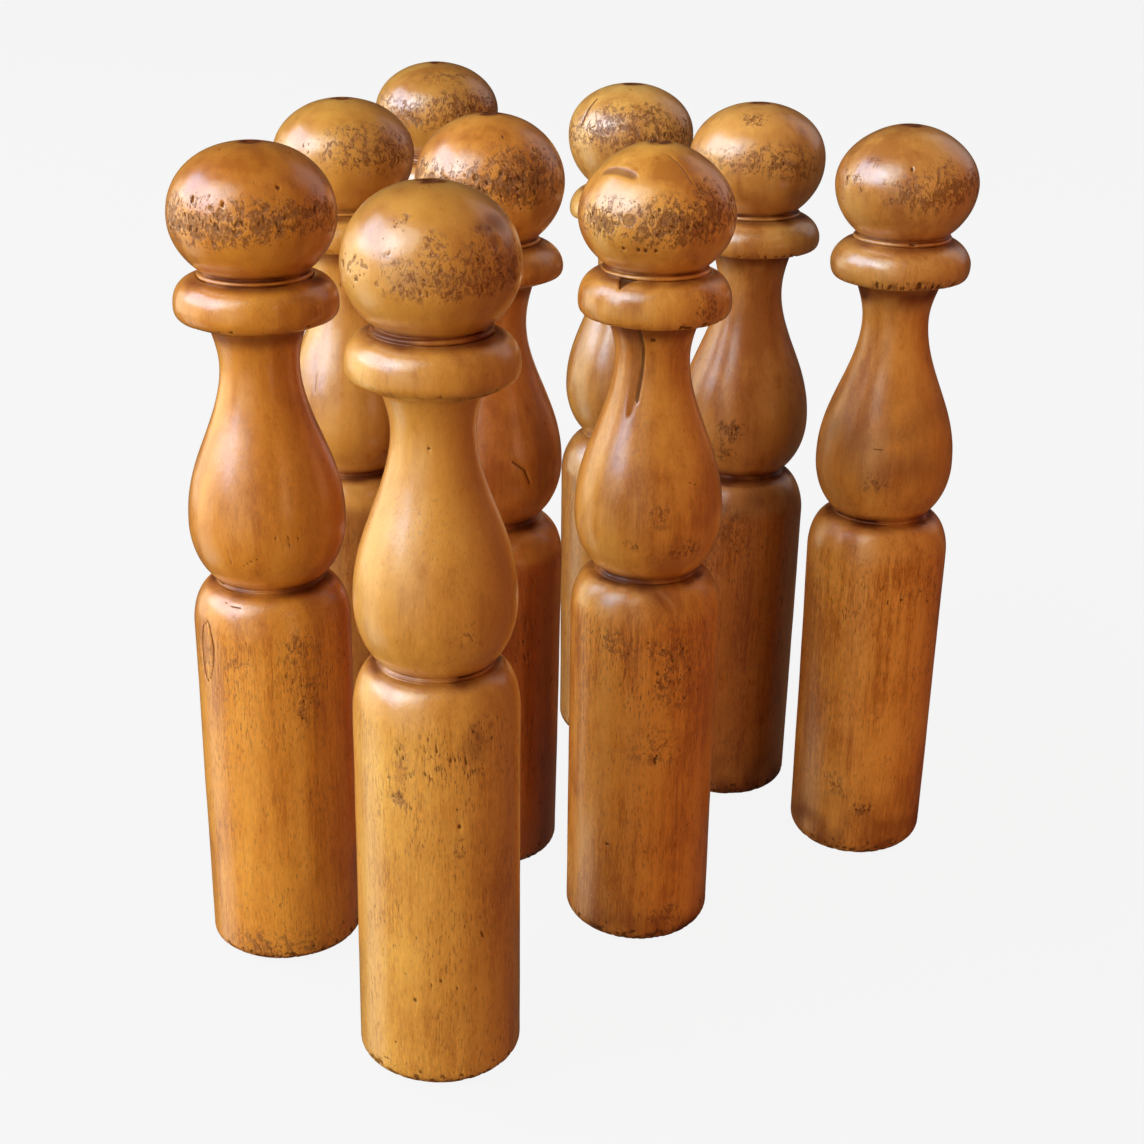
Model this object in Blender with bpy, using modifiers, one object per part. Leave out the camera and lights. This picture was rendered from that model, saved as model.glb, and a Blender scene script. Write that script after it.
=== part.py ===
"""A set of nine turned wooden skittles, standing loosely together.

Every skittle is one piece of turned wood, so each is one object. All nine share one outline.
The middle one, the king, stays put. Each of the others can topple outward, away from the king.
"""
import bpy
from math import acos, atan2, cos, pi, sin, sqrt

# Driving dimensions, in metres. Heights are measured from the floor.
PIN_HEIGHT = 0.3800
HEAD_RADIUS = 0.0345
HEAD_HEIGHT = 0.3516          # the head's widest level
GROOVE_RADIUS = 0.0222        # the groove between head and collar
GROOVE_HEIGHT = 0.3274
FILLET_RADIUS = 0.0238        # the thin ring below that groove
FILLET_HEIGHT = 0.3260
COLLAR_RADIUS = 0.0342
COLLAR_HEIGHT = 0.3128        # the collar's widest level
COLLAR_BOTTOM = 0.3054
NECK_TOP_RADIUS = 0.0209      # where the neck meets the collar's underside
NECK_RADIUS = 0.0169
NECK_HEIGHT = 0.2844          # the neck's narrowest level
BELLY_RADIUS = 0.0347
BELLY_HEIGHT = 0.2162         # the belly's widest level
BELLY_TUCK = 0.0225           # how far the belly's lower curve turns in
BELLY_DEPTH = 0.0304          # how far it reaches down
WAIST_RADIUS = 0.0236         # the two grooves of the waist
WAIST_UPPER = 0.1900
WAIST_LOWER = 0.1866
WAIST_RIDGE = 0.0249          # the ridge between them
SHOULDER_RADIUS = 0.0352      # the body at its shoulder
SHOULDER_DROP = 0.0196
BODY_RADIUS = 0.0343          # the body just above the foot
FOOT_ROUND = 0.0135           # the foot edge's rounding, across and up
FOOT_RISE = 0.0098
LATHE_MARK_RADIUS = 0.0024    # the small hole that the lathe centre leaves at each end
LATHE_MARK_DEPTH = 0.0030
NECK_EASE = 1.09              # above 1, the belly stays full for longer before the neck
SEGMENTS = 32                 # steps round the axis

KING = "skittle_king"

# Where each skittle stands, with its wood colour and its varnish's roughness.
SKITTLES = {
    "skittle_front_left": (-0.14710, -0.11375, (0.560, 0.205, 0.042), 0.36),
    "skittle_front": (-0.06730, -0.20855, (0.600, 0.225, 0.045), 0.34),
    "skittle_left": (-0.12630, 0.04905, (0.500, 0.170, 0.034), 0.40),
    "skittle_back_left": (-0.08870, 0.20855, (0.520, 0.190, 0.040), 0.42),
    KING: (-0.05030, -0.02605, (0.420, 0.125, 0.026), 0.40),
    "skittle_front_right": (0.02440, -0.09275, (0.570, 0.205, 0.040), 0.33),
    "skittle_back": (0.02150, 0.11945, (0.540, 0.195, 0.040), 0.42),
    "skittle_right": (0.08140, 0.05555, (0.440, 0.140, 0.028), 0.38),
    "skittle_far_right": (0.14710, -0.00805, (0.560, 0.210, 0.045), 0.38),
}


def arc(centre, size, start, end, count):
    """Points along an ellipse, both ends included, with angles from the horizontal."""
    points = []
    for step in range(count + 1):
        angle = start + (end - start) * step / count
        points.append((centre[0] + size[0] * cos(angle), centre[1] + size[1] * sin(angle)))
    return points


def head_outline():
    """The lathe mark and the flattened ball of the head, down to its groove."""
    top_angle = acos(0.16)
    lower_angle = -acos(GROOVE_RADIUS / HEAD_RADIUS)
    lower_size = (HEAD_HEIGHT - GROOVE_HEIGHT) / -sin(lower_angle)
    mark = [(0.0, PIN_HEIGHT - LATHE_MARK_DEPTH), (LATHE_MARK_RADIUS, PIN_HEIGHT)]
    centre = (0.0, HEAD_HEIGHT)
    upper = arc(centre, (HEAD_RADIUS, PIN_HEIGHT - HEAD_HEIGHT), top_angle, 0.0, 4)
    lower = arc(centre, (HEAD_RADIUS, lower_size), 0.0, lower_angle, 2)
    return mark + upper + lower[1:]


def collar_outline():
    """The thin fillet ring and the rounded collar below it."""
    fillet = [(FILLET_RADIUS, FILLET_HEIGHT)]
    upper_size = (COLLAR_RADIUS - GROOVE_RADIUS, FILLET_HEIGHT - COLLAR_HEIGHT - 0.0004)
    upper = arc((GROOVE_RADIUS, COLLAR_HEIGHT), upper_size, 0.40 * pi, 0.0, 3)
    lower_size = (COLLAR_RADIUS - NECK_TOP_RADIUS, COLLAR_HEIGHT - COLLAR_BOTTOM)
    lower = arc((NECK_TOP_RADIUS, COLLAR_HEIGHT), lower_size, 0.0, -0.5 * pi, 2)
    return fillet + upper + lower[1:]


def neck_outline(steps=6):
    """The neck's cove, widening smoothly into the upper half of the belly."""
    points = [(0.5 * (NECK_TOP_RADIUS + NECK_RADIUS), 0.5 * (COLLAR_BOTTOM + NECK_HEIGHT) + 0.003)]
    for step in range(steps + 1):
        along = 1.0 - step / steps
        blend = 0.5 * (1.0 + cos(pi * along ** NECK_EASE))
        radius = NECK_RADIUS + (BELLY_RADIUS - NECK_RADIUS) * blend
        points.append((radius, BELLY_HEIGHT + (NECK_HEIGHT - BELLY_HEIGHT) * along))
    return points


def waist_outline():
    """The belly's lower curve and the double groove of the waist."""
    reach = (BELLY_HEIGHT - WAIST_UPPER - 0.0012) / BELLY_DEPTH
    end_angle = -atan2(reach, sqrt(1.0 - reach * reach))
    centre = (BELLY_RADIUS - BELLY_TUCK, BELLY_HEIGHT)
    belly = arc(centre, (BELLY_TUCK, BELLY_DEPTH), 0.0, end_angle, 2)
    ridge_height = 0.5 * (WAIST_UPPER + WAIST_LOWER)
    grooves = [(WAIST_RADIUS, WAIST_UPPER), (WAIST_RIDGE, ridge_height), (WAIST_RADIUS, WAIST_LOWER)]
    return belly[1:] + grooves


def body_outline():
    """The body: rounded shoulder, nearly straight side, rounded foot and hollowed centre mark."""
    shoulder_height = WAIST_LOWER - SHOULDER_DROP
    shoulder_size = (SHOULDER_RADIUS - WAIST_RADIUS, SHOULDER_DROP)
    shoulder = arc((WAIST_RADIUS, shoulder_height), shoulder_size, 0.42 * pi, 0.0, 3)
    foot_centre = (BODY_RADIUS - FOOT_ROUND, FOOT_RISE)
    foot = arc(foot_centre, (FOOT_ROUND, FOOT_RISE), 0.0, -0.5 * pi, 2)
    mark = [(LATHE_MARK_RADIUS, 0.0), (0.0, LATHE_MARK_DEPTH)]
    return shoulder + foot + mark


def skittle_profile():
    """One skittle's outline as a chain of edges, down its outer side from top to bottom."""
    outline = head_outline() + collar_outline() + neck_outline() + waist_outline() + body_outline()
    vertices = [(radius, 0.0, height) for radius, height in outline]
    edges = [(index, index + 1) for index in range(len(vertices) - 1)]
    mesh = bpy.data.meshes.new("skittle_outline")
    mesh.from_pydata(vertices, edges, [])
    return mesh


def varnished_wood(name, colour, roughness):
    """A skittle's own wood, under its own thickness of amber varnish."""
    material = bpy.data.materials.new(name + "_wood")
    material.use_nodes = True
    shader = material.node_tree.nodes["Principled BSDF"]
    shader.inputs["Base Color"].default_value = (*colour, 1.0)
    shader.inputs["Roughness"].default_value = roughness
    shader.inputs["Metallic"].default_value = 0.0
    material.diffuse_color = (*colour, 1.0)
    return material


def turn(pin):
    """Spin a skittle's outline round its axis."""
    screw = pin.modifiers.new("turned", "SCREW")
    screw.axis = "Z"
    screw.angle = 2.0 * pi
    screw.steps = SEGMENTS
    screw.render_steps = SEGMENTS
    screw.use_merge_vertices = True
    screw.merge_threshold = 0.00001
    screw.use_smooth_shade = True


def add_skittle(name, profile, collection):
    """Stand one skittle in its place. All but the king hang on an empty at their toppling edge."""
    x, y, colour, roughness = SKITTLES[name]
    pin = bpy.data.objects.new(name, profile)
    collection.objects.link(pin)
    pin.material_slots[0].link = "OBJECT"
    pin.material_slots[0].material = varnished_wood(name, colour, roughness)
    turn(pin)
    if name == KING:
        pin.location = (x, y, 0.0)
        return
    king_x, king_y = SKITTLES[KING][:2]
    outward = atan2(y - king_y, x - king_x)
    edge = bpy.data.objects.new(name + "_toppling_edge", None)
    edge.empty_display_size = 0.03
    collection.objects.link(edge)
    edge.location = (x + SHOULDER_RADIUS * cos(outward), y + SHOULDER_RADIUS * sin(outward), 0.0)
    edge.rotation_euler.z = outward
    pin.parent = edge
    pin.location = (-SHOULDER_RADIUS, 0.0, 0.0)
    pin.rotation_euler.z = -outward


def main():
    for old in list(bpy.data.objects):
        bpy.data.objects.remove(old, do_unlink=True)
    collection = bpy.data.collections.new("skittle_set")
    bpy.context.scene.collection.children.link(collection)
    profile = skittle_profile()
    profile.materials.append(None)
    for name in SKITTLES:
        add_skittle(name, profile, collection)


main()
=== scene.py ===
"""Nine old turned wooden skittles in worn amber varnish, each one finely meshed piece."""
from itertools import product
from math import cos, radians, sin

import bpy
import numpy as np
from mathutils import Matrix, Vector


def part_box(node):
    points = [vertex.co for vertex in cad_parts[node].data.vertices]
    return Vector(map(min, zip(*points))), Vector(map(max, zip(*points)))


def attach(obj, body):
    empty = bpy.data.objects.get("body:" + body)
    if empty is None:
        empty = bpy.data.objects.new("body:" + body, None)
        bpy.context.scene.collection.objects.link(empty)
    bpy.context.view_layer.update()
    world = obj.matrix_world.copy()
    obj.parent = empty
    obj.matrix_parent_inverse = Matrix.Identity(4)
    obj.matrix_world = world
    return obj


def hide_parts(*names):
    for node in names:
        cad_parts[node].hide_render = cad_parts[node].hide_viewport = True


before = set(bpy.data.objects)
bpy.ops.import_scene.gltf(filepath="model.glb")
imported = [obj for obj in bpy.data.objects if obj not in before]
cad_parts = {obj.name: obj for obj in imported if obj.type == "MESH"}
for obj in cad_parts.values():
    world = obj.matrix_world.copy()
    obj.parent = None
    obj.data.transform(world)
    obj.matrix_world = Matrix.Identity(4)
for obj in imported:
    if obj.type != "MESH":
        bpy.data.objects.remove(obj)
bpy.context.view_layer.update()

MM = 0.001
COLUMNS = 264          # mesh columns round a skittle
CROWDING = 0.35        # how much closer the columns are on the side with the named marks
FACE = radians(-84)    # the middle of that side
TOP_ROWS = 4           # rows in the lathe mark on the head, left out when a height is looked up
SHOWS = 0.5            # a pit or flake shows where its field is above about this
FLAKE_DEPTH = 0.16     # millimetres
PIT_DEPTH = 0.26

# ---------------------------------------------------------------- outline, in millimetres

SHAPE = dict(
    height=380.0, head_r=34.5, head_z=351.6, head_full=2.1, groove_r=22.4, groove_z=327.3,
    collar_r=34.2, collar_z=312.8, collar_full=1.9, edge_r=30.6, edge_z=307.0,
    under_r=20.9, under_z=305.4, neck_r=16.9, neck_z=284.4, belly_r=34.7, belly_z=216.2,
    belly_tuck=22.5, belly_depth=30.4, neck_ease=1.09, waist_r=24.1,
    shoulder_r=35.2, shoulder_drop=19.6, shoulder_full=2.0, body_r=34.3, foot_round=13.5,
    foot_rise=9.8,
)
# small turned details, as radius and height: the lathe mark on the head down from the top, the
# groove and ring under the head from (groove_r, groove_z), the double groove of the waist from
# (waist_r, the end of the belly), and the flat foot with its lathe mark
LATHE_MARK = [(0.0, -2.8), (0.9, -2.2), (1.7, -0.9)]
RING = [(-0.9, -0.5), (-1.0, -0.9), (0.1, -1.1), (0.9, -1.5), (1.25, -2.1), (1.1, -2.7),
        (0.5, -3.1), (0.4, -3.4)]
WAIST = [(-0.9, -0.5), (-1.0, -0.8), (0.1, -1.2), (0.4, -1.7), (0.1, -2.1), (-0.5, -2.3),
         (-0.5, -2.5)]
FLAT_FOOT = [(14.0, 0.0), (8.0, 0.0), (2.4, 0.0), (1.6, 1.2), (0.0, 2.8)]
CUFF_DROP = 3.0        # the collar's top is this far below groove_z
SHOULDER_GAP = 2.8     # and the shoulder's top this far below the belly's end


def bend(centre, size, start, end, count, full=2.0):
    """Points on a superellipse. start and end are in turns, and full above 2 is squarer."""
    t = 2 * np.pi * np.linspace(start, end, count)
    c, s = np.cos(t), np.sin(t)
    r = centre[0] + size[0] * np.sign(c) * np.abs(c) ** (2 / full)
    z = centre[1] + size[1] * np.sign(s) * np.abs(s) ** (2 / full)
    return np.stack([r, z], 1)


def shifted(points, r, z):
    """The points of a small detail, moved to a radius and a height."""
    return np.array([(r + dr, z + dz) for dr, dz in points])


def outline(k):
    """The turned outline from the top of the axis to its bottom, and the heights that wear uses."""
    hole = shifted(LATHE_MARK, 0, k["height"])
    cap_size = k["head_r"], k["height"] - k["head_z"]
    cap = bend((0, k["head_z"]), cap_size, 0.238, 0.0, 64, k["head_full"])
    tuck = np.arccos(k["groove_r"] / k["head_r"])
    ball_size = k["head_r"], (k["head_z"] - k["groove_z"]) / np.sin(tuck)
    ball = bend((0, k["head_z"]), ball_size, 0.0, -tuck / (2 * np.pi), 42)[1:]
    gr, gz = k["groove_r"], k["groove_z"]
    ring = shifted(RING, gr, gz)
    cuff_size = k["collar_r"] - gr, gz - CUFF_DROP - k["collar_z"]
    cuff = bend((gr, k["collar_z"]), cuff_size, 0.225, 0.0, 24, k["collar_full"])
    lip_size = k["collar_r"] - k["edge_r"], k["collar_z"] - k["edge_z"]
    lip = bend((k["edge_r"], k["collar_z"]), lip_size, 0.0, -0.25, 13, 2.2)[1:]
    t = np.linspace(0, 1, 8)[1:]
    under = np.stack([k["edge_r"] + (k["under_r"] - k["edge_r"]) * t,
                      k["edge_z"] + (k["under_z"] - k["edge_z"]) * t ** 0.6], 1)
    t = np.linspace(0, 1, 10)[1:]
    cove = np.stack([k["neck_r"] + (k["under_r"] - k["neck_r"]) * (1 - np.sin(0.5 * np.pi * t)),
                     k["under_z"] + (k["neck_z"] - k["under_z"]) * t], 1)
    t = np.linspace(1, 0, 60)[1:]
    blend = 0.5 * (1 + np.cos(np.pi * t ** k["neck_ease"]))
    pear = np.stack([k["neck_r"] + (k["belly_r"] - k["neck_r"]) * blend,
                     k["belly_z"] + (k["neck_z"] - k["belly_z"]) * t], 1)
    wr = k["waist_r"]
    centre = k["belly_r"] - k["belly_tuck"]
    reach = -np.arccos(np.clip((wr - centre) / k["belly_tuck"], 0, 1)) / (2 * np.pi)
    low = bend((centre, k["belly_z"]), (k["belly_tuck"], k["belly_depth"]), 0.0, reach, 26)[1:]
    end = low[-1, 1]
    waist = shifted(WAIST, wr, end)
    base = (end - SHOULDER_GAP) - k["shoulder_drop"]
    shoulder_size = k["shoulder_r"] - wr, k["shoulder_drop"]
    shoulder = bend((wr, base), shoulder_size, 0.245, 0.0, 22, k["shoulder_full"])
    side_z = np.linspace(base, k["foot_rise"], 80)[1:-1]
    side_r = (k["body_r"] + (k["shoulder_r"] - k["body_r"]) * (side_z - k["foot_rise"]) /
              (base - k["foot_rise"]))
    side = np.stack([side_r, side_z], 1)
    foot_centre = k["body_r"] - k["foot_round"], k["foot_rise"]
    foot = bend(foot_centre, (k["foot_round"], k["foot_rise"]), 0.0, -0.25, 15)
    marks = dict(ring_z=gz - 2.0, ring_r=gr + 0.5, waist_z=end - 1.6, edge_z=k["edge_z"],
                 under_z=k["under_z"], base=base, band_z=k["head_z"] + 2.5)
    return np.concatenate([hole, cap, ball, ring, cuff, lip, under, cove, pear, low, waist,
                           shoulder, side, foot, np.array(FLAT_FOOT)]), marks


# ---------------------------------------------------------------- noise

def grain(points, cell, seed):
    """Smooth noise from about -1 to 1, with features of about cell millimetres along x, y, z."""
    rng = np.random.default_rng(seed)
    order = rng.permutation(256)
    slopes = rng.normal(size=(256, 3))
    slopes /= np.linalg.norm(slopes, axis=1)[:, None]
    p = points / np.asarray(cell, float)
    home = np.floor(p).astype(int)
    f = p - home
    w = f * f * f * (f * (f * 6 - 15) + 10)
    total = np.zeros(points.shape[:-1])
    for corner in product((0, 1), repeat=3):
        c = (home + corner) & 255
        which = order[(order[(order[c[..., 0]] + c[..., 1]) & 255] + c[..., 2]) & 255]
        pull = np.sum(slopes[which] * (f - corner), -1)
        total += pull * np.prod(np.where(corner, w, 1 - w), -1)
    return 1.7 * total


def step(x, low, high):
    """0 below low, 1 above high, and smooth between."""
    t = np.clip((x - low) / (high - low), 0, 1)
    return t * t * (3 - 2 * t)


def hump(offset, width, power=2):
    """1 where offset is 0, falling off over about width; a larger power gives steeper sides."""
    return np.exp(-np.abs(offset / width) ** power)


# ---------------------------------------------------------------- one skittle's surface

class Skin:
    """The surface of one skittle as rows and columns, and the wear that is carved into it.

    Heights are in millimetres above the floor and angles in degrees round the axis. Sizes and
    depths are in millimetres, and amounts go from 0 to about 1.
    """

    def __init__(self, turn, seed):
        line, self.marks = outline({k: v + turn.get(k, 0) for k, v in SHAPE.items()})
        self.seed = seed
        self.rng = np.random.default_rng(seed)
        self.r, self.z = line[1:-1, 0:1], line[1:-1, 1:2]
        self.ends = line[0], line[-1]
        even = 2 * np.pi * np.arange(COLUMNS)[None, :] / COLUMNS
        self.angle = even - CROWDING * np.sin(even - FACE)
        run = np.hypot(np.diff(line[:, 0]), np.diff(line[:, 1]))
        self.s = np.cumsum(run)[:-1, None]
        tangent = line[2:] - line[:-2]
        tangent /= np.linalg.norm(tangent, axis=1)[:, None]
        self.out = np.stack([-tangent[:, 1], tangent[:, 0]], 1)
        across = self.r * np.cos(self.angle), self.r * np.sin(self.angle)
        self.p = np.stack(np.broadcast_arrays(*across, self.z), -1)
        blank = np.zeros(self.p.shape[:2])
        self.lift, self.pit, self.line = (blank.copy() for _ in range(3))
        self.flake, self.grime_and_shade, self.stain = (blank.copy() for _ in range(3))

    def noise(self, cell, salt):
        """Noise over the surface. Each use has its own salt, a number that sets it apart."""
        return grain(self.p, cell, self.seed * 97 + salt)

    def row_at(self, height):
        return TOP_ROWS + int(np.argmax(self.z[TOP_ROWS:, 0] <= height))

    def angle_from(self, angle):
        """Degrees round from an angle, from -180 to 180."""
        return np.degrees((self.angle - radians(angle) + np.pi) % (2 * np.pi) - np.pi)

    def place(self, angle, height, tilt=0.0):
        """Millimetres across and up from a point, turned by tilt degrees."""
        turn = (self.angle - radians(angle) + np.pi) % (2 * np.pi) - np.pi
        x, y = self.r * turn, self.s[self.row_at(height)] - self.s + 0 * turn
        c, s = cos(radians(tilt)), sin(radians(tilt))
        return c * x + s * y, -s * x + c * y

    def dent(self, angle, height, across, along, depth, pit=0.0, stain=0.0, tilt=0.0):
        """A round hollow, which can also be dark as a pit or stained."""
        x, y = self.place(angle, height, tilt)
        bowl = np.clip(1 - (x / across) ** 2 - (y / along) ** 2, 0, 1)
        self.lift -= depth * bowl * bowl * (3 - 2 * bowl)
        self.pit = np.maximum(self.pit, pit * np.sqrt(bowl))
        self.stain = np.maximum(self.stain, stain * bowl)

    def crack(self, points, width=0.7, depth=0.4, dark=1.0):
        """A dark line through points of angle and height."""
        near = np.full(self.lift.shape, 99.0)
        first_angle, first_height = points[0]
        x, y = self.place(first_angle, first_height)
        first = self.row_at(first_height)
        spots = []
        for angle, height in points:
            row = self.row_at(height)
            radius = 0.5 * (self.r[row, 0] + self.r[first, 0])
            spots.append((radius * radians(angle - first_angle), self.s[first, 0] - self.s[row, 0]))
        for (x0, y0), (x1, y1) in zip(spots, spots[1:]):
            dx, dy = x1 - x0, y1 - y0
            t = np.clip(((x - x0) * dx + (y - y0) * dy) / (dx * dx + dy * dy + 1e-9), 0, 1)
            near = np.minimum(near, np.hypot(x - x0 - t * dx, y - y0 - t * dy))
        line = np.clip(1 - near / (2 * width), 0, 1)
        self.lift -= depth * step(line, 0.1, 0.8)
        self.line = np.maximum(self.line, dark * line)

    def cluster(self, angle, height, across, along, count, size=0.8, pit=1.0, depth=0.3):
        """Small pits scattered round a point."""
        radius = max(8.0, self.r[self.row_at(height), 0])
        for _ in range(count):
            u, v = self.rng.normal(0, 0.5, 2)
            a, h = angle + np.degrees(u * across / radius), height + v * along
            w = size * self.rng.uniform(0.6, 1.25)
            long = w * self.rng.uniform(1.0, 2.4)
            self.dent(a, h, w, long, depth, pit * self.rng.uniform(0.6, 0.95))

    def scuff(self, angle, height, across, along, amount):
        """Crowds fine dark specks round a point."""
        x, y = self.place(angle, height)
        self.belt += amount * np.exp(-np.abs(x / across) ** 2.5 - np.abs(y / along) ** 2.5)

    def wedge(self, angle, height, width, length, depth):
        """A dark chip that is widest at its top and runs down to a point."""
        x, y = self.place(angle, height)
        side = step(0.5 * width * (1 + y / length) - np.abs(x), -0.4, 0.7)
        inside = side * step(0.6 - y, 0, 0.8) * (y > -length)
        self.lift -= depth * inside
        self.line = np.maximum(self.line, inside)

    def ring_mark(self, angle, height, across, along):
        """A flake with a dark outline and a duller middle."""
        x, y = self.place(angle, height)
        ring = 0.74 - 0.45 * np.abs(np.hypot(x / across, y / along) * 1.6 - 0.5) * 1.2
        self.flake = np.maximum(self.flake, ring)

    def speckle(self, label, slope, likely):
        """Adds pits or flakes where likely, a noise less its threshold, is above about 0."""
        setattr(self, label, np.maximum(getattr(self, label), SHOWS + slope * likely))

    def band(self, amount):
        """The scuffed belt round the head, where the skittles have knocked each other."""
        above, below = 10.0, 9.0
        sway = 3.0 * self.noise(28, 1) + 2.0 * self.noise(9, 2)
        y = self.z - self.marks["band_z"] - sway
        belt = hump(y, np.where(y > 0, above, below), 2.4) * (self.z > self.marks["ring_z"] + 3)
        patch = 0.45 + 0.55 * step(self.noise(22, 3), -0.45, 0.25)
        self.belt = belt * patch * amount
        chip = self.noise((3.6, 3.6, 4.6), 4) + 0.45 * self.noise((1.6, 1.6, 2.2), 5)
        self.speckle("flake", 0.8, chip - 1.22 + 1.02 * self.belt)
        dash = self.noise((1.3, 1.3, 2.4), 6) + 0.35 * self.noise((0.9, 0.9, 1.6), 7)
        self.speckle("pit", 0.9, dash - 1.02 + 0.60 * self.belt)

    def wear(self, rough):
        """Small damage all over, mostly on the body, the collar's lower edge and the foot."""
        m, z = self.marks, self.z
        body = step(m["waist_z"] - 8 - z, 0, 12)
        dash = self.noise((1.8, 1.8, 4.0), 11) + 0.3 * self.noise((1.0, 1.0, 2.0), 12)
        patch = step(self.noise(26, 13), -0.1, 0.6)
        high = hump(z - m["base"] + 14, 17.0)
        self.speckle("pit", 0.8, dash - 1.10 + body * (0.16 * patch + 0.26 * high) * rough)
        foot = hump(z, 12.5)
        bits = self.noise((3.0, 3.0, 2.4), 14) + 0.5 * self.noise((1.2, 1.2, 1.2), 15)
        self.speckle("pit", 0.8, bits - 1.12 + 1.22 * foot * rough)
        self.belt = self.belt + 0.75 * hump(z, 13.0) * (0.6 + 0.8 * self.noise(18, 18))
        edge = hump(z - m["edge_z"] - 0.6, 2.2) * (self.r > 27)
        nick = self.noise((2.2, 2.2, 6.0), 16) + 0.5 * self.noise((1.1, 1.1, 3.0), 17)
        self.speckle("pit", 0.7, nick - 1.25 + 0.75 * edge * rough)
        self.lift -= 0.35 * edge * step(nick, -0.1, 0.9) * rough
        self.body = body + 0 * self.angle
        fleck = body * (1 + 0.5 * high) + (1 - body) * 0.45
        fleck = np.where(z > m["ring_z"] + 2, 0.28, fleck)
        self.fleck = fleck * (0.75 + 0.25 * rough) + 0 * self.angle

    def soil_and_shade(self):
        """Dirt and old varnish in the grooves, under the collar and round the lathe mark, with
        painted shade in the grooves and under the collar.
        """
        m, z, r = self.marks, self.z, self.r
        top = hump(r, 6.5, 3) * (z > 370) * (1.2 + 0.7 * self.noise(4, 21))
        ring = hump(z - m["ring_z"], 3.4, 2.5) * (0.8 + 0.3 * self.noise(12, 22))
        ring = ring * (1 - 0.6 * hump(z - m["ring_z"], 0.9) * (r > m["ring_r"]))
        # painted shade on the neck under the collar, along with dirt
        collar = hump(z - m["under_z"] + 2.5, 5.5) * (r < 27) * 0.75
        lip = (r > 20) * hump(z - m["under_z"], 1.2) * 0.5
        waist = hump(z - m["waist_z"], 3.6, 2.2) * (0.75 + 0.4 * self.noise(14, 23))
        foot = hump(z, 4.6) * (0.85 + 0.6 * self.noise(14, 24))
        places = [top, ring, collar + 0 * top, lip + 0 * top, waist, foot]
        self.grime_and_shade = np.clip(np.maximum.reduce(places), 0, 1)

    def darken_belly(self, amount, top=296):
        """Gives the belly and neck, and all below top, some of the body's darker varnish, which on
        the left, king and right skittles is partly painted shade.
        """
        self.body = np.maximum(self.body, amount * step(top - self.z, 0, 12))

    def dirt_and_shade(self, height, spread, amount):
        """A belt of dirt round the neck, a groove or the foot; under the collar and low on the body
        it also paints shade.
        """
        narrow, low = 27.5, 20
        belt = hump(self.z - height, spread) * (0.8 + 0.4 * self.noise(12, 25))
        belt = amount * belt * ((self.r < narrow) | (height < low))
        self.grime_and_shade = np.clip(np.maximum(self.grime_and_shade, belt), 0, 1)

    def stain_belt(self, height, spread, amount, mean=0.75, sway=0.6, cell=15, salt=27):
        """A cloudy belt of stain all round."""
        cloud = mean + sway * self.noise(cell, salt)
        self.stain = np.maximum(self.stain, amount * hump(self.z - height, spread) * cloud)

    def finish(self):
        """Sinks the pits and flakes, and adds the slight unevenness of hand-turned old wood."""
        wave = 0.20 * self.noise(70, 31) + 0.10 * self.noise(24, 32) + 0.035 * self.noise(7, 33)
        calm = step(self.r, 6, 20)
        oval = 0.22 * np.cos(2 * (self.angle - self.rng.uniform(0, np.pi))) + 0 * self.z
        self.lift += (wave + oval) * calm
        self.lift -= (FLAKE_DEPTH * step(self.flake, 0.42, 0.60) +
                      PIT_DEPTH * step(self.pit, 0.40, 0.75))

    def mesh(self, name, stance):
        """A closed mesh in metres, with its origin at the middle of the foot."""
        r = self.r + self.lift * self.out[:, 0:1]
        z = self.z + self.lift * self.out[:, 1:2]
        rows = len(self.r)
        grid = np.stack([r * np.cos(self.angle), r * np.sin(self.angle), z], -1).reshape(-1, 3)
        ends = np.array([(0, 0, self.ends[0][1]), (0, 0, self.ends[1][1])])
        grid = np.concatenate([grid, ends])
        grid[:, 2] = np.maximum(grid[:, 2], 0.0)
        shift_x, shift_y, lean_x, lean_y = stance
        grid[:, 0] += shift_x + lean_x * grid[:, 2] / 1000
        grid[:, 1] += shift_y + lean_y * grid[:, 2] / 1000
        i = np.arange(rows - 1)[:, None] * COLUMNS
        j = np.arange(COLUMNS)[None, :]
        k = (j + 1) % COLUMNS
        quads = np.stack([i + j, i + COLUMNS + j, i + COLUMNS + k, i + k], -1).reshape(-1, 4)
        j, k = j[0], k[0]
        top, bottom = np.full(COLUMNS, rows * COLUMNS), np.full(COLUMNS, rows * COLUMNS + 1)
        last = (rows - 1) * COLUMNS
        fans = np.concatenate([np.stack([top, j, k], 1),
                               np.stack([bottom, last + k, last + j], 1)])
        mesh = bpy.data.meshes.new(name)
        mesh.vertices.add(len(grid))
        mesh.vertices.foreach_set("co", (grid * MM).astype(np.float32).ravel())
        corners = np.concatenate([quads.ravel(), fans.ravel()]).astype(np.int32)
        mesh.loops.add(len(corners))
        mesh.loops.foreach_set("vertex_index", corners)
        starts = np.concatenate([np.arange(len(quads)) * 4,
                                 len(quads) * 4 + np.arange(len(fans)) * 3])
        mesh.polygons.add(len(starts))
        mesh.polygons.foreach_set("loop_start", starts.astype(np.int32))
        mesh.update(calc_edges=True)
        mesh.validate()
        mesh.polygons.foreach_set("use_smooth", np.ones(len(mesh.polygons), bool))
        for label in ("pit", "line", "flake", "grime_and_shade", "stain", "fleck", "belt", "body"):
            field = getattr(self, label)
            values = np.concatenate([np.broadcast_to(field, self.lift.shape).ravel(),
                                     [field[0].mean(), field[-1].mean()]]).astype(np.float32)
            mesh.attributes.new(label, "FLOAT", "POINT").data.foreach_set("value", values)
        mesh.update()
        return mesh


# ---------------------------------------------------------------- material

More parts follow.
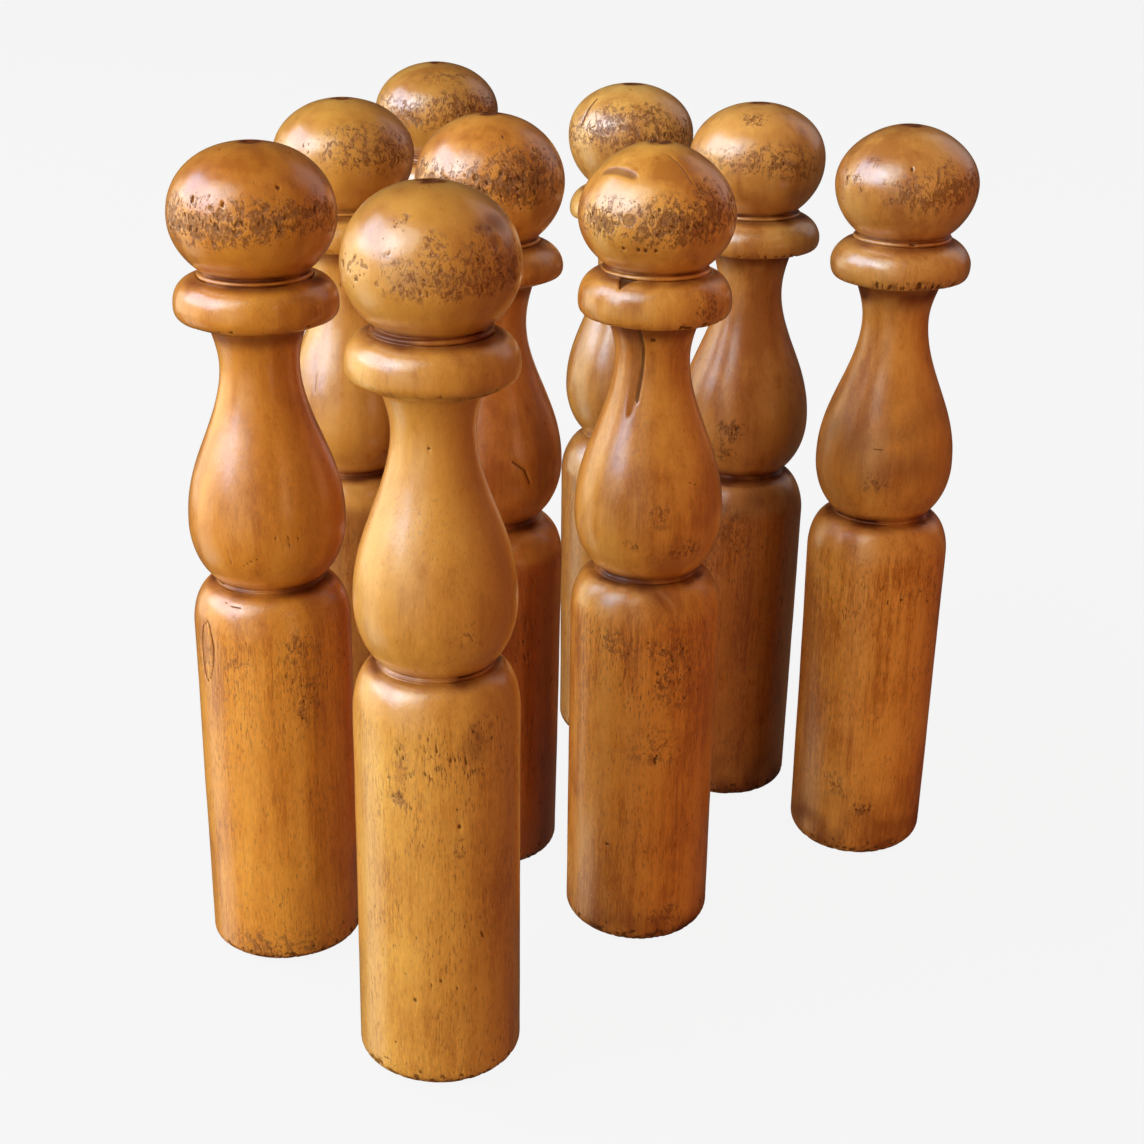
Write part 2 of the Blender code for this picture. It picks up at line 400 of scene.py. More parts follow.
# what lies over the varnish: its colour, and how much of the varnish it covers
WEAR = {
    "dash": ((0.16, 0.050, 0.010), 0.60),
    "tan": ((0.30, 0.110, 0.032), 0.52),
    "stain": ((0.200, 0.068, 0.024), 0.70),
    # dirt in the grooves, under the collar, round the lathe mark and at the foot; its deep red, and
    # the near black below it, also paint the warm shade in the grooves and under the collar
    "grime_and_shade": ((0.175, 0.031, 0.007), 0.86),
    "deep_grime_and_shade": ((0.055, 0.010, 0.002), 0.62),
    "flake_rim": ((0.105, 0.036, 0.012), 0.40),
    "pit": ((0.120, 0.040, 0.011), 0.80),
    "line": ((0.090, 0.028, 0.009), 0.85),
}
INK = (0.190, 0.056, 0.010)
INK_SHARE = 0.48, 0.64                # on the body, and on the head
BARE = (0.225, 0.085, 0.028), (0.350, 0.145, 0.050)
BARE_SHARE = 0.62
LIGHT_DASH, LIGHT_DASH_SHARE = 1.45, 0.35
# what multiplies the varnish where it is dark, middling and light. The middle one is a half, so
# the varnish colours go in doubled
TINT = [(0.22, (0.36, 0.295, 0.24)), (0.5, (0.5, 0.5, 0.5)), (0.80, (0.58, 0.65, 0.76))]


class Graph:
    """Short names for the shader nodes that the wood is made of."""

    def __init__(self, name):
        self.material = bpy.data.materials.new(name)
        self.material.use_nodes = True
        self.tree = self.material.node_tree
        self.tree.nodes.clear()

    def put(self, socket, value):
        if isinstance(value, bpy.types.NodeSocket):
            self.tree.links.new(value, socket)
        elif value is not None:
            socket.default_value = value

    def node(self, kind, inputs, out=0, **settings):
        n = self.tree.nodes.new("ShaderNode" + kind)
        for key, value in settings.items():
            setattr(n, key, value)
        for key, value in inputs.items():
            self.put(n.inputs[key], value)
        return n.outputs[out] if n.outputs else None

    def math(self, operation, a, b=None, c=None):
        return self.node("Math", {0: a, 1: b, 2: c}, operation=operation)

    def add(self, a, b):
        return self.math("ADD", a, b)

    def less(self, a, b):
        return self.math("SUBTRACT", a, b)

    def times(self, a, b):
        return self.math("MULTIPLY", a, b)

    def most(self, a, b):
        return self.math("MAXIMUM", a, b)

    def sway(self, noise, amount):
        """Noise about its mean of 0.5, times amount."""
        return self.times(self.less(noise, 0.5), amount)

    def step(self, value, low, high, to_low=0.0, to_high=1.0):
        ends = {"From Min": low, "From Max": high, "To Min": to_low, "To Max": to_high}
        return self.node("MapRange", {"Value": value, **ends}, interpolation_type="SMOOTHSTEP")

    def mix(self, share, a, b, blend="MIX"):
        n = self.tree.nodes.new("ShaderNodeMix")
        n.data_type, n.blend_type, n.clamp_factor = "RGBA", blend, True
        for index, value in ((0, share), (6, a), (7, b)):
            self.put(n.inputs[index], value)
        return n.outputs[2]

    def cover(self, colour, where, kind):
        """Lays one kind of wear over a colour."""
        paint, share = WEAR[kind]
        return self.mix(self.times(where, share), colour, rgba(paint))

    def noise(self, where, size, detail=2.0, rough=0.5, twist=0.0):
        """Noise with features of about size, in millimetres along x, y and z."""
        scale = tuple(1.0 / (MM * s) for s in size)
        at = self.node("Mapping", {"Vector": where, "Scale": scale})
        return self.node("TexNoise", {"Vector": at, "Scale": 1.0, "Detail": detail,
                                      "Roughness": rough, "Distortion": twist})

    def ramp(self, value, stops):
        n = self.tree.nodes.new("ShaderNodeValToRGB")
        self.tree.links.new(value, n.inputs[0])
        while len(n.color_ramp.elements) < len(stops):
            n.color_ramp.elements.new(0.5)
        for element, (at, colour) in zip(n.color_ramp.elements, stops):
            element.position = at
            element.color = (*colour, 1.0)
        return n.outputs[0]

    def attribute(self, label):
        return self.node("Attribute", {}, out=2, attribute_name=label)


def rgba(colour, factor=1.0):
    return (colour[0] * factor, colour[1] * factor, colour[2] * factor, 1.0)


def wood(name, seed, head, body, contrast, shine, body_gloss):
    """Old amber varnish on beech: cloudy, with upright grain, flecks, a scuffed belt and pits."""
    g = Graph(name)
    rng = np.random.default_rng(seed)
    here = g.node("TexCoord", {}, out=3)
    offset = tuple(rng.uniform(-3, 3, 3))
    here = g.node("VectorMath", {0: here, 1: offset}, operation="ADD")
    cloud = g.noise(here, (26, 26, 55), 2.5, 0.55, 0.4)
    figure = g.noise(here, (7, 7, 150), 2.0, 0.5)
    streak = g.noise(here, (2.0, 2.0, 40), 3.0, 0.6)
    fine = g.noise(here, (0.75, 0.75, 7.0), 2.0, 0.6)
    tiny = g.noise(here, (0.55, 0.55, 0.8), 2.0, 0.6)
    mottle = g.noise(here, (5.0, 5.0, 8.0), 3.0, 0.6)
    fleck = g.attribute("fleck")
    belt = g.attribute("belt")

    tone = g.add(g.times(cloud, 1.3), g.times(figure, 0.55))
    tone = g.add(tone, g.times(g.times(streak, fleck), 0.65))
    tone = g.add(tone, g.times(g.times(fine, fleck), 0.60))
    tone = g.add(tone, g.times(mottle, 0.35))
    # the noises' mean is 0.5, so the sum's mean is half its weights; this brings it to about 0.5
    tone = g.less(tone, g.add(0.60, g.times(fleck, 0.625)))
    tone = g.math("MULTIPLY_ADD", tone, contrast, 0.5 - 0.5 * contrast)
    base = g.mix(g.attribute("body"), rgba(head, 2.0), rgba(body, 2.0))
    colour = g.mix(1.0, base, g.ramp(tone, TINT), "MULTIPLY")

    dashes = g.noise(here, (0.70, 0.70, 3.6), 2.0, 0.6)
    dash_patch = g.step(g.noise(here, (16, 16, 26), 2.0), 0.38, 0.66, 0.35, 1.0)
    dark = g.times(g.step(dashes, 0.575, 0.66), g.times(dash_patch, fleck))
    colour = g.cover(colour, dark, "dash")
    light = g.times(g.step(dashes, 0.43, 0.34), fleck)
    colour = g.mix(g.times(light, LIGHT_DASH_SHARE), colour, rgba(body, LIGHT_DASH))

    scar = g.noise(here, (2.8, 2.8, 3.6), 3.0, 0.6, 0.5)
    speck = g.noise(here, (0.85, 0.85, 1.6), 2.0, 0.65)
    worn = g.step(belt, 0.05, 0.55)
    crowd = g.add(g.add(speck, g.sway(scar, 0.80)), g.times(belt, 0.115))
    tan = g.times(g.step(g.add(scar, g.times(belt, 0.10)), 0.53, 0.66), worn)
    colour = g.cover(colour, tan, "tan")
    ink = g.times(g.step(crowd, 0.610, 0.685), worn)
    ink_share = g.step(g.attribute("body"), 0.9, 0.1, *INK_SHARE)
    colour = g.mix(g.times(ink, ink_share), colour, rgba(INK))

    stain = g.step(g.add(g.attribute("stain"), g.sway(mottle, 0.5)), 0.08, 0.75)
    colour = g.cover(colour, stain, "stain")
    # dirt, with painted shade in the grooves and under the collar
    grime_and_shade = g.step(g.add(g.attribute("grime_and_shade"), g.sway(mottle, 0.45)), 0.10, 0.95)
    colour = g.cover(colour, grime_and_shade, "grime_and_shade")
    deep = g.step(g.attribute("grime_and_shade"), 0.62, 1.0)
    colour = g.cover(colour, deep, "deep_grime_and_shade")

    ragged = g.sway(tiny, 0.5)
    chips = g.add(g.attribute("flake"), ragged)
    flake = g.step(chips, 0.44, 0.54)
    rim = g.times(flake, g.step(chips, 0.70, 0.50))
    bare = g.mix(mottle, *map(rgba, BARE))
    colour = g.mix(g.times(flake, BARE_SHARE), colour, bare)
    colour = g.cover(colour, rim, "flake_rim")
    pit = g.step(g.add(g.attribute("pit"), ragged), 0.44, 0.56)
    colour = g.cover(colour, pit, "pit")
    line = g.step(g.attribute("line"), 0.30, 0.62)
    colour = g.cover(colour, line, "line")

    # where the gloss is lost
    dull = g.most(g.most(g.times(flake, 0.7), g.times(ink, 0.65)), g.most(pit, line))
    dull = g.most(dull, g.most(g.times(grime_and_shade, 0.75), g.times(stain, 0.55)))
    rough = g.add(g.add(0.32, g.sway(mottle, 0.25)), g.times(dull, 0.30))
    coat = g.math("MULTIPLY_ADD", dull, -0.92, 1.0)
    coat = g.times(coat, g.math("MULTIPLY_ADD", g.attribute("body"), body_gloss - 1.0, 1.0))
    mirror = g.math("MULTIPLY_ADD", dull, -0.44, 0.5)

    # fine relief in millimetres
    swell = g.noise(here, (2.2, 2.2, 3.0), 2.0)
    height = g.add(g.times(fine, g.times(fleck, 0.045)), g.times(swell, 0.065))
    height = g.add(height, g.times(tiny, 0.026))
    for hollow, depth in ((dark, 0.06), (ink, 0.06), (flake, 0.08), (pit, 0.16)):
        height = g.less(height, g.times(hollow, depth))
    bump = g.node("Bump", {"Height": height, "Strength": 1.0, "Distance": MM})
    shader = g.node("BsdfPrincipled", {
        "Base Color": colour, "Roughness": rough, "IOR": 1.5, "Specular IOR Level": mirror,
        "Coat Weight": coat, "Coat Roughness": 0.24, "Coat IOR": shine,
        "Normal": bump, "Coat Normal": bump,
    })
    g.node("OutputMaterial", {"Surface": shader})
    return g.material


# ---------------------------------------------------------------- the nine skittles

# the varnish on each skittle: colour of the head and belly, colour of the body, how cloudy it is,
# the index of refraction of its gloss, and how much of the gloss is left on the body
# the darker, redder body colours of the left, king and right skittles are partly their varnish and
# partly painted shade from their neighbours
VARNISH = {
    "front_left": ((0.63, 0.222, 0.021), (0.67, 0.245, 0.027), 0.95, 1.70, 1.0),
    "front": ((0.61, 0.262, 0.040), (0.65, 0.29, 0.046), 0.7, 1.72, 1.0),
    "left": ((0.65, 0.28, 0.042), (0.342, 0.124, 0.023), 1.0, 1.75, 0.9),
    "back_left": ((0.6, 0.26, 0.04), (0.5, 0.2, 0.03), 1.0, 2.0, 1.0),
    "king": ((0.74, 0.285, 0.038), (0.37, 0.074, 0.010), 1.1, 1.85, 0.7),
    "front_right": ((0.73, 0.30, 0.042), (0.66, 0.235, 0.028), 1.3, 1.72, 0.7),
    "back": ((0.82, 0.41, 0.09), (0.62, 0.23, 0.03), 1.0, 1.85, 1.0),
    "right": ((0.73, 0.31, 0.060), (0.54, 0.165, 0.025), 1.1, 1.72, 0.6),
    "far_right": ((0.64, 0.265, 0.050), (0.67, 0.255, 0.040), 1.3, 1.92, 0.15),
}


# The marks that can be made out on each skittle. Most begin with an angle and a height, then the
# size across and along and an amount: -90 degrees faces the front and -180 the left.

def marks_front_left(s):
    s.dirt_and_shade(0, 7.5, 0.9)
    s.dent(-126, 364, 1.2, 2.0, 0.5, 0.9)
    s.dent(-101, 363, 1.0, 1.4, 0.4, 0.9)
    s.dent(-60, 369, 1.2, 1.4, 0.4, 0.8)
    s.scuff(-100, 354, 30, 6, 0.35)
    s.crack([(-138, 176.5), (-143, 173.5), (-146.5, 167), (-147.5, 160), (-146.5, 153),
             (-144, 148), (-141, 147), (-137, 149), (-133.5, 154), (-131.5, 160), (-131, 165),
             (-132.5, 170), (-135, 174.5), (-138, 176.5)], 0.55, 0.5, 0.9)
    s.dent(-139.5, 162, 5.0, 14, 0.25, 0.0, 0.30)
    s.scuff(-112, 158, 6, 5, 0.7)
    s.scuff(-62, 168, 9, 9, 0.7)
    s.scuff(-58, 140, 7, 14, 0.8)
    s.cluster(-60, 140, 8, 16, 8, 0.6)
    s.crack([(-101, 206), (-95, 209), (-90, 209.5)], 0.4, 0.25, 0.75)
    s.crack([(-112, 214), (-111, 207)], 0.4, 0.25, 0.6)
    s.cluster(-70, 216, 7, 5, 6, 0.5)
    s.crack([(-124, 185.5), (-116, 184.5), (-108, 185)], 0.45, 0.3, 0.7)
    s.crack([(-112, 181), (-104, 176), (-101, 170)], 0.35, 0.2, 0.55)
    s.scuff(-95, 12, 24, 8, 0.6)


def marks_front(s):
    s.dirt_and_shade(0, 6.5, 0.95)
    s.dirt_and_shade(s.marks["ring_z"], 2.6, 1.0)
    s.dent(-30, 372, 9, 6, 0.25, 0.0, 0.65)
    s.dent(-42, 371, 7, 4, 0.2, 0.0, 0.6)
    s.dent(-40, 366, 4, 4, 0.3, 0.0, 0.7)
    s.scuff(-85, 366, 4.0, 7, 0.6)
    s.scuff(-112, 374, 4.5, 4, 0.75)
    s.belt *= 1 - 0.85 * step(-s.angle_from(-108), 0.0, 20.0)
    s.scuff(-86, 352.5, 18, 5.5, 0.62)
    s.dent(-86, 354, 24, 7, 0.05, 0.0, 0.40)
    s.scuff(-45, 370, 8, 4, 0.5)
    s.cluster(-84, 353, 12, 4, 9, 0.5, 0.9, 0.2)
    s.scuff(-116, 144, 4.5, 3, 1.0)
    s.dent(-116, 144, 6, 4, 0.15, 0.0, 0.3)
    s.cluster(-116, 144, 4, 2.0, 5, 0.6, 0.85, 0.3)
    s.dent(-72, 131, 1.1, 1.5, 0.5, 0.9)
    s.scuff(-72, 121, 3, 5, 0.8)
    s.scuff(-111, 163, 3.5, 14, 0.42)
    s.scuff(-86, 165, 10, 8, 0.32)
    s.dent(-60, 167, 9, 14, 0.2, 0.0, 0.48)
    s.dent(-111, 160, 5, 13, 0.1, 0.0, 0.34)
    s.scuff(-55, 172, 7, 9, 0.5)
    s.cluster(-80, 165, 26, 9, 18, 0.45)
    s.cluster(-95, 60, 26, 40, 12, 0.5)
    s.dent(-104, 49, 0.9, 1.9, 0.4, 0.9)
    s.dent(-92, 286, 0.8, 0.7, 0.2, 0.75)
    s.scuff(-62, 214, 10, 6, 0.5)
    s.dent(-60, 307, 2.6, 1.6, 0.8, 0.9)
    s.dent(-47, 308, 3.5, 1.8, 0.9, 0.9)
    s.scuff(-52, 309, 9, 4, 1.0)
    # less grime and painted shade under this collar
    s.grime_and_shade = np.where((s.z > 288) & (s.z < 307), 0.35 * s.grime_and_shade, s.grime_and_shade)
    s.dent(-95, 306, 1.6, 1.0, 0.6, 0.9)
    s.dent(-78, 310, 10, 3.5, 0.1, 0.0, 0.36)
    s.dent(-118, 311, 8, 3, 0.1, 0.0, 0.28)


def marks_front_right(s):
    # a crescent dent with a sharp upper rim
    x, y = s.place(-136, 372.0)
    arch = 2.2 - 0.028 * x * x
    inside = step(arch - y, 0, 1.6) * step(y + 3.8 + 0.02 * x * x, 0, 3.0)
    inside = inside * step(12.5 - np.abs(x), 0, 5)
    s.lift -= 0.4 * inside
    s.stain = np.maximum(s.stain, 0.95 * inside)
    s.crack([(-155, 369), (-146, 373.2), (-136, 374.5), (-126, 374.5), (-118, 373)], 0.3, 0.15, 0.4)
    # the scoop down the neck, with its dark right-hand edge
    height = s.z + 0 * s.angle
    down = [-306, -296, -283, -272, -268, -265.5, -264.3]
    edge_angles = [-112, -108.5, -110.5, -113.5, -115, -117.5, -120]
    edge = np.radians(np.interp(-height, down, edge_angles))
    x = s.r * ((s.angle - edge + np.pi) % (2 * np.pi) - np.pi)
    width = np.interp(-height, down, [15, 8.5, 6.4, 6.0, 5.2, 3.4, 1.0])
    inside = step(-x, -0.4, 1.0) * step(x + width, 0, 0.45 * width)
    inside = inside * step(height, 263.5, 266) * step(306.5 - height, 0, 1.5)
    s.lift -= 1.7 * inside * step(x + width, 0, width)
    shade = np.interp(height, [268, 286, 297, 304], [0.16, 0.24, 0.5, 0.85])
    s.stain = np.maximum(s.stain, inside * shade)
    s.crack([(-111, 305), (-108, 297), (-109, 289), (-111, 281), (-113.5, 272)], 1.0, 0.45, 1.0)
    # collar
    s.wedge(-123, 326.5, 9.0, 9.0, 0.9)
    s.crack([(-72, 309), (-64, 308)], 0.8, 0.4, 0.9)
    s.scuff(-50, 316, 9, 6, 0.9)
    s.dent(-93, 300, 1.6, 1.3, 0.5, 0.9)
    # belly
    s.scuff(-105, 210, 4, 3, 0.8)
    s.dent(-82, 219, 7.5, 2.2, 0.3, 0.0, 0.45)
    s.scuff(-84, 226, 6, 6, 0.6)
    s.scuff(-62, 207, 9, 5, 0.8)
    s.crack([(-58, 238), (-52, 236)], 0.5, 0.25, 0.7)
    # body
    s.dent(-75.5, 182, 2.5, 8, 0.9, 0.0, 0.0, 35)
    s.scuff(-115, 162, 8, 7, 0.75)
    s.scuff(-78, 160, 14, 5, 0.6)
    s.scuff(-68, 145, 10, 16, 0.8)
    s.scuff(-80, 110, 16, 12, 0.55)
    s.cluster(-80, 150, 26, 14, 30, 0.5)
    s.cluster(-83, 105, 2, 3, 5, 0.8)
    s.dent(-118, 56, 1.5, 1.5, 0.5, 0.8, 0.4)
    s.scuff(-70, 18, 8, 6, 1.0)
    # head
    s.scuff(-80, 352.5, 22, 8, 0.5)
    s.ring_mark(-129, 350, 4.5, 4.8)
    s.ring_mark(-113, 354, 5.0, 4.4)
    for a in (-118, -106, -101, -93):
        s.dent(a, 341.5, 1.0, 1.2, 0.4, 0.9)
    s.crack([(-78, 378), (-66, 374), (-58, 368)], 0.4, 0.2, 0.6)
    s.scuff(-48, 364, 6, 7, 0.8)
    s.dirt_and_shade(0, 22, 0.95)
    s.darken_belly(0.3)
    s.dirt_and_shade(s.marks["waist_z"], 5, 0.95)
    s.stain_belt(184, 9, 0.45)


def marks_left(s):
    s.belt *= 1 - 0.6 * step(-s.angle_from(-88), 0.0, 20.0)
    s.scuff(-66, 362, 18, 12, 0.6)
    s.crack([(-120, 244), (-119, 236)], 0.5, 0.2, 0.6)
    s.darken_belly(0.25)


def marks_back_left(s):
    s.scuff(-70, 372, 18, 6, 0.6)
    s.scuff(-60, 358, 20, 10, 0.5)


def marks_king(s):
    s.scuff(-58, 362, 20, 13, 0.8)
    s.dent(-62, 367, 7, 5, 0.1, 0.0, 0.42)
    s.dent(-50, 360, 6, 8, 0.1, 0.0, 0.45)
    s.dent(-80, 357, 5, 3.5, 0.1, 0.0, 0.32)
    s.cluster(-62, 360, 16, 12, 26, 0.6)
    s.crack([(-70, 226), (-60, 222), (-55, 214)], 0.8, 0.4, 0.7)
    s.cluster(-60, 140, 8, 30, 14, 0.6)
    # the king's darker body colour, partly painted shade from its neighbours, carried up over the
    # belly, neck and collar
    s.darken_belly(0.55, 328)


def marks_back(s):
    s.crack([(-147, 372), (-146, 366), (-145, 361)], 0.6, 0.5, 0.95)
    s.scuff(-108, 366, 12, 7, 0.7)
    s.scuff(-70, 368, 8, 5, 0.6)
    s.scuff(-85, 356, 26, 9, 0.4)
    s.scuff(-110, 120, 4, 4, 0.9)
    # painted shade on the neck under the collar, with dirt
    s.dirt_and_shade(303, 6, 0.7)
    s.darken_belly(0.7)


def marks_right(s):
    s.scuff(-100, 372.5, 7, 5, 1.1)
    s.scuff(-88, 355, 22, 8, 0.45)
    s.scuff(-105.5, 217, 8, 6, 1.1)
    s.cluster(-105.5, 217, 7, 5, 8, 0.6)
    s.scuff(-112, 205, 8, 5, 0.8)
    s.scuff(-108, 165, 16, 12, 0.75)
    # painted shade on the neck under the collar, with dirt
    s.dirt_and_shade(302, 7, 0.85)
    s.dirt_and_shade(205, 12, 0.6)
    # painted shadow low on the body, with some dirt
    s.dirt_and_shade(0, 34, 0.85)
    s.darken_belly(0.45)
    s.stain_belt(176, 14, 0.5)
    s.dirt_and_shade(s.marks["waist_z"], 6, 0.95)


def marks_far_right(s):
    s.dent(-97, 362, 0.9, 1.2, 0.5, 0.9)
    s.scuff(-88, 350, 18, 7, 0.75)
    s.scuff(-62, 352, 8, 6, 0.8)
    s.belt *= 1 - 0.6 * step(-s.angle_from(-112), 0.0, 14.0)
    s.scuff(-132, 364, 4, 3, 0.5)
    s.dent(-88, 326, 2.2, 1.2, 0.6, 0.8)
    # the frayed lower edge of the collar
    for a in (-118, -113, -107, -98, -96, -90, -84, -82, -77, -71, -66, -65, -60, -52, -47):
        height = 307.5 + s.rng.uniform(-1.5, 1.0)
        across, along = s.rng.uniform(0.35, 0.9), s.rng.uniform(1.2, 3.6)
        s.dent(a, height, across, along, 0.6, 0.9)
    s.scuff(-80, 308, 26, 3.5, 0.7)
    s.scuff(-94, 32, 6, 4, 1.1)
    s.cluster(-94, 32, 3.5, 2.0, 5, 0.8)
    s.scuff(-120, 46, 6, 8, 0.6)
    s.crack([(-110, 228), (-102, 229)], 0.4, 0.2, 0.6)
    s.scuff(-106, 212, 9, 6, 0.7)
    # painted shade on the neck under the collar, with dirt
    s.dirt_and_shade(300, 7.5, 1.0)
    # darker low on the body
    s.dirt_and_shade(0, 44, 0.80)
    s.dirt_and_shade(s.marks["waist_z"], 5.5, 0.95)
    s.stain_belt(228, 36, 0.52, 0.8, 0.4, 16, 26)
    s.darken_belly(0.75)


# how each skittle's outline differs from SHAPE, how scuffed its head and how worn the rest is, its
# marks, and how it stands: millimetres along x and y, and thousandths its axis leans along x and y
UPRIGHT = (0.0, 0.0, 0.0, 0.0)
SKITTLES = {
    "front_left": (
        dict(height=2.8, head_r=1.3, head_z=0.8, groove_r=0.95, groove_z=2.6, collar_r=1.1,
             collar_z=1.8, collar_full=0.4, edge_z=1.5, neck_r=0.4, neck_z=3.0, belly_r=0.3,
             belly_z=0.6, waist_r=0.2, shoulder_r=0.3, shoulder_drop=0.5, body_r=1.3,
             foot_round=4.0, foot_rise=-2.0),
        1.00, 1.0, marks_front_left, (-0.45, 0.0, -1.2, 0.0)),
    "front": (
        dict(height=4.2, head_z=1.5, groove_z=3.4, collar_z=1.6, collar_full=0.4, edge_z=2.6,
             neck_z=4.0, belly_r=-1.2, belly_z=1.0, waist_r=0.4, shoulder_r=-0.5,
             shoulder_drop=1.2, body_r=1.2, foot_round=3.6, foot_rise=-1.0),
        0.92, 1.0, marks_front, (0.4, 0.0, 0.45, 3.0)),
    "left": (
        dict(height=-1.3, head_r=0.6, head_z=0.6, head_full=-0.15),
        1.0, 0.9, marks_left, UPRIGHT),
    "back_left": (
        dict(height=-2.4, head_r=0.7, head_z=-0.4, head_full=-0.15),
        1.0, 0.9, marks_back_left, UPRIGHT),
    "king": (
        dict(height=2.9, head_r=0.3, head_full=-0.1, collar_r=0.4, edge_z=1.3, neck_r=0.45,
             neck_z=1.4, belly_r=0.5, waist_r=-0.4, shoulder_r=0.7),
        1.1, 1.2, marks_king, (0.0, 0.0, -0.8, 0.0)),
    "front_right": (
        dict(height=1.5, head_z=-1.1, head_full=-0.23, groove_r=0.56, groove_z=2.2,
             collar_full=0.25, neck_z=3.5, belly_r=-0.5, belly_z=-1.3, body_r=0.8),
        1.05, 1.1, marks_front_right, (0.7, 0.0, -3.0, 0.0)),
    "back": (
        dict(height=-1.8, head_r=-0.9, collar_r=-1.7, edge_z=1.5, neck_r=-0.5, neck_z=-3.4,
             belly_r=-1.6, belly_z=-2.2, belly_depth=0.9, waist_r=-1.1, shoulder_drop=1.4,
             shoulder_full=-0.3),
        0.9, 1.0, marks_back, (0.0, 0.0, -2.8, 0.0)),
    "right": (
        dict(height=-2.2, head_z=-1.5, groove_z=-1.2, collar_z=-1.3, edge_z=-1.0, neck_r=-0.3,
             belly_r=-0.6, belly_z=-1.0, waist_r=-1.0, shoulder_r=-0.45, shoulder_drop=1.8,
             shoulder_full=-0.2, body_r=-0.5, foot_round=3.1, foot_rise=-0.9),
        0.55, 1.1, marks_right, (0.0, 0.0, 1.6, 0.0)),
    "far_right": (
        dict(height=-2.6, head_r=-0.6, head_z=-1.2, head_full=-0.2, collar_r=-0.7,
             collar_full=-0.15, edge_r=-0.8, edge_z=-1.6, under_z=-1.4, neck_r=-0.85,
             belly_r=-0.8, belly_z=-2.75, shoulder_r=-0.1, foot_rise=1.4),
        0.85, 1.0, marks_far_right, (0.4, 0.0, -2.6, 0.0)),
}
FIRST_SEED, SEED_GAP = 20, 7

for number, (place, (turn, scuffed, worn, marks, stance)) in enumerate(SKITTLES.items()):
    seed = FIRST_SEED + SEED_GAP * number
    skin = Skin(turn, seed)
    skin.soil_and_shade()
    skin.band(scuffed)
    skin.wear(worn)
    marks(skin)
    skin.finish()
    node = "skittle_" + place
    low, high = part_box(node)
    mesh = skin.mesh("skittle_wood_" + place, stance)
    piece = bpy.data.objects.new("skittle_wood_" + place, mesh)
    bpy.context.scene.collection.objects.link(piece)
    piece.location = ((low.x + high.x) / 2, (low.y + high.y) / 2, low.z)
    piece.data.materials.append(wood("wood_" + place, seed, *VARNISH[place]))
    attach(piece, place)
    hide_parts(node)

# ---------------------------------------------------------------- floor and backdrop, in metres

FLOOR_SIZE, FLOOR_Z = 40, -0.0002       # just under the feet
BACKDROP_RADIUS = 19.5
FLOOR_GLOW, FLOOR_MATT, BACKDROP_GLOW = 0.895, 0.03, 0.92


def plain(name, glow, matt=0.0):
    g = Graph(name)
    light = g.node("Emission", {"Color": (1, 1, 1, 1), "Strength": glow})
    cloth = g.node("BsdfDiffuse", {"Color": (matt, matt, matt, 1)})
    g.node("OutputMaterial", {"Surface": g.node("AddShader", {0: light, 1: cloth})})
    return g.material


def stage(obj, material):
    """Makes an object part of the stage: only the camera sees it, and it casts no shadow."""
    obj.data.materials.append(material)
    obj.visible_diffuse = obj.visible_glossy = obj.visible_transmission = False
    obj.visible_shadow = False


bpy.ops.mesh.primitive_plane_add(size=FLOOR_SIZE, location=(0, 0, FLOOR_Z))
stage(bpy.context.object, plain("floor_paint", FLOOR_GLOW, FLOOR_MATT))
bpy.context.object.name = "floor"
bpy.ops.mesh.primitive_uv_sphere_add(segments=48, ring_count=24, radius=BACKDROP_RADIUS)
stage(bpy.context.object, plain("backdrop_paint", BACKDROP_GLOW))
bpy.context.object.name = "backdrop"

# ---------------------------------------------------------------- light

MIDDLE = Vector((0.0, 0.0, 0.20))       # what the lights face
LIGHT_DISTANCE = 4.2


def panel(name, round_left, above, size, watts, on_matt, on_gloss):
    """A soft rectangular light that faces the set."""
    light = bpy.data.lights.new(name, "AREA")
    light.shape = "RECTANGLE"
    light.size, light.size_y = size
    light.energy = max(watts)
    light.color = [w / max(watts) for w in watts]
    obj = bpy.data.objects.new(name, light)
    bpy.context.scene.collection.objects.link(obj)
    a, e = radians(round_left), radians(above)
    way = Vector((-sin(a) * cos(e), -cos(a) * cos(e), sin(e))).normalized()
    obj.location = MIDDLE + LIGHT_DISTANCE * way
    obj.rotation_euler = way.to_track_quat("Z", "Y").to_euler()
    obj.visible_diffuse, obj.visible_glossy = on_matt, on_gloss


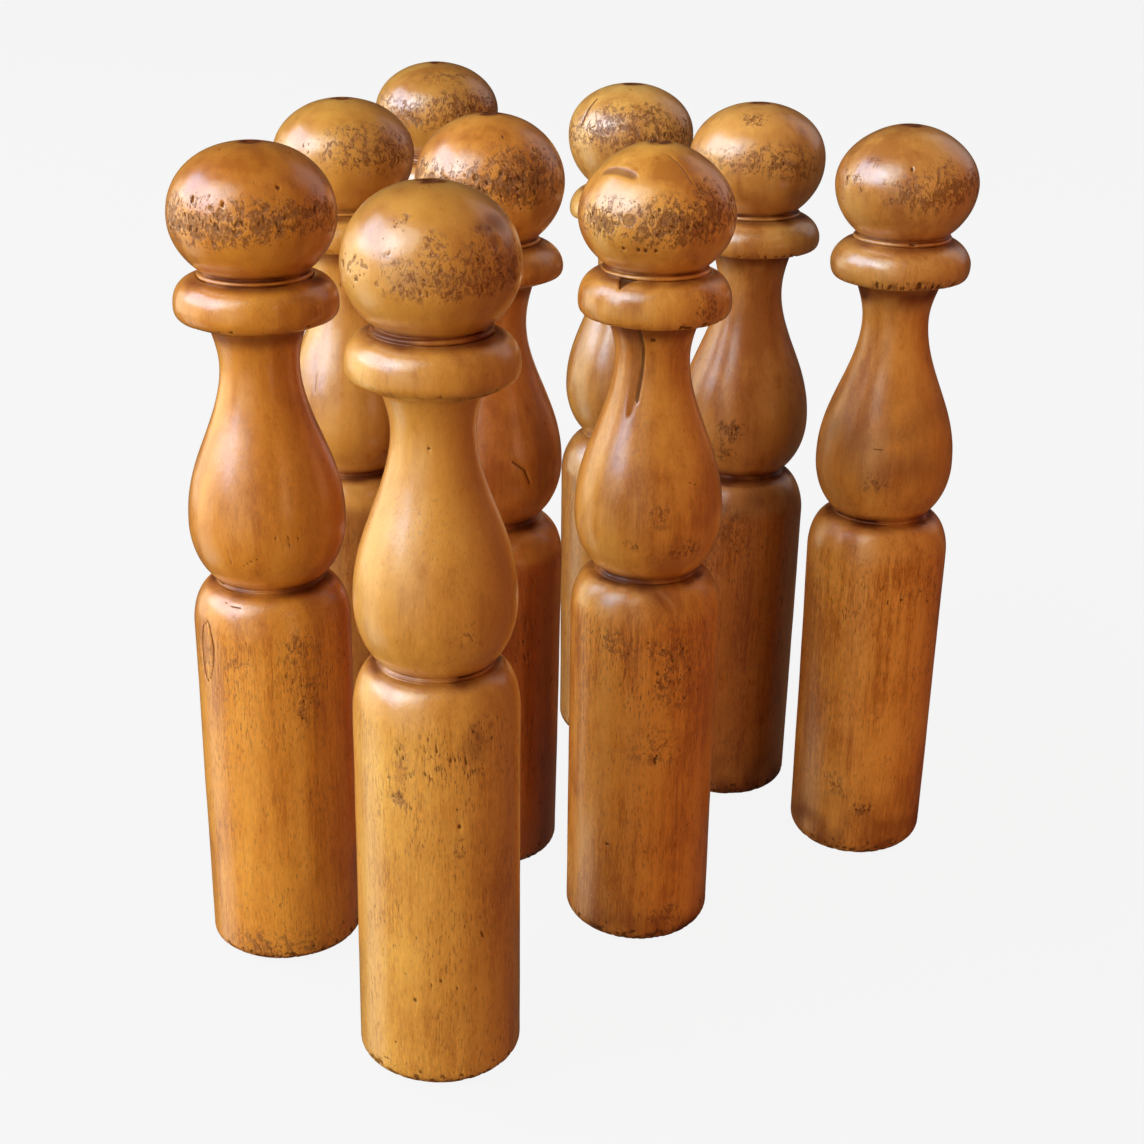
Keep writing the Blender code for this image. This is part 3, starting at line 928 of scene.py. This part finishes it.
# name, degrees round to the left from the camera's side, degrees above the floor, width and
# height, watts in red, green and blue, and whether it lights matt colour and gloss
LIGHTS = [
    ("window", 79, 31, (4.8, 2.6), (92.0, 127.0, 178.0), True, True),
    ("window_back", 125, 42, (2.6, 2.6), (42.0, 36.0, 32.0), True, False),
    ("window_front", 45, 42, (2.6, 2.6), (50.0, 58.0, 54.0), True, True),
    ("doorway", 44, 5, (4.2, 2.6), (124.0, 115.0, 84.0), True, False),
    ("doorway_sheen", 44, 5, (4.2, 2.6), (98.0, 92.0, 69.0), False, True),
    ("left_wall", 103, 5, (4.4, 2.6), (56.0, 53.0, 38.0), True, True),
    ("low_left", 118, -35, (4.0, 2.6), (42.0, 40.0, 21.0), True, False),
    ("table_sheen", 96, -27, (2.4, 2.0), (7.0, 9.5, 9.5), False, True),
    ("right_wall", -50, 8, (4.2, 3.0), (54.0, 16.5, 4.0), True, False),
    ("ceiling", -50, 62, (3.0, 3.0), (12.0, 10.0, 8.0), True, False),
    ("behind_right", -130, 30, (2.6, 3.2), (10.0, 10.0, 10.0), True, True),
]
for row in LIGHTS:
    panel(*row)

ROOM_GLOW = (0.080, 0.060, 0.038, 1.0)
world = bpy.data.worlds.new("room")
bpy.context.scene.world = world
world.use_nodes = True
room = world.node_tree.nodes["Background"].inputs
room["Color"].default_value = ROOM_GLOW
room["Strength"].default_value = 1.0

# ---------------------------------------------------------------- camera, as fitted to the picture

CAMERA_AT = (-0.02219, -0.90724, 0.50817)
PITCH, ROLL = radians(23.42), 0.0120    # down, and leaning to one side, in radians

camera = bpy.data.cameras.new("camera")
camera.sensor_width = 36.0
camera.lens = 58.95
camera.shift_x, camera.shift_y = 0.0233, 0.0479
camera.clip_start, camera.clip_end = 0.05, 60.0
eye = bpy.data.objects.new("camera", camera)
bpy.context.scene.collection.objects.link(eye)
forward = Vector((0, cos(PITCH), -sin(PITCH)))
level_up = Vector((0, sin(PITCH), cos(PITCH)))
level_right = Vector((1, 0, 0))
right = level_right * cos(ROLL) + level_up * sin(ROLL)
up = level_up * cos(ROLL) - level_right * sin(ROLL)
turned = Matrix((right, up, -forward)).transposed().to_4x4()
eye.matrix_world = Matrix.Translation(CAMERA_AT) @ turned
bpy.context.scene.camera = eye
bpy.context.scene.view_settings.view_transform = "Standard"
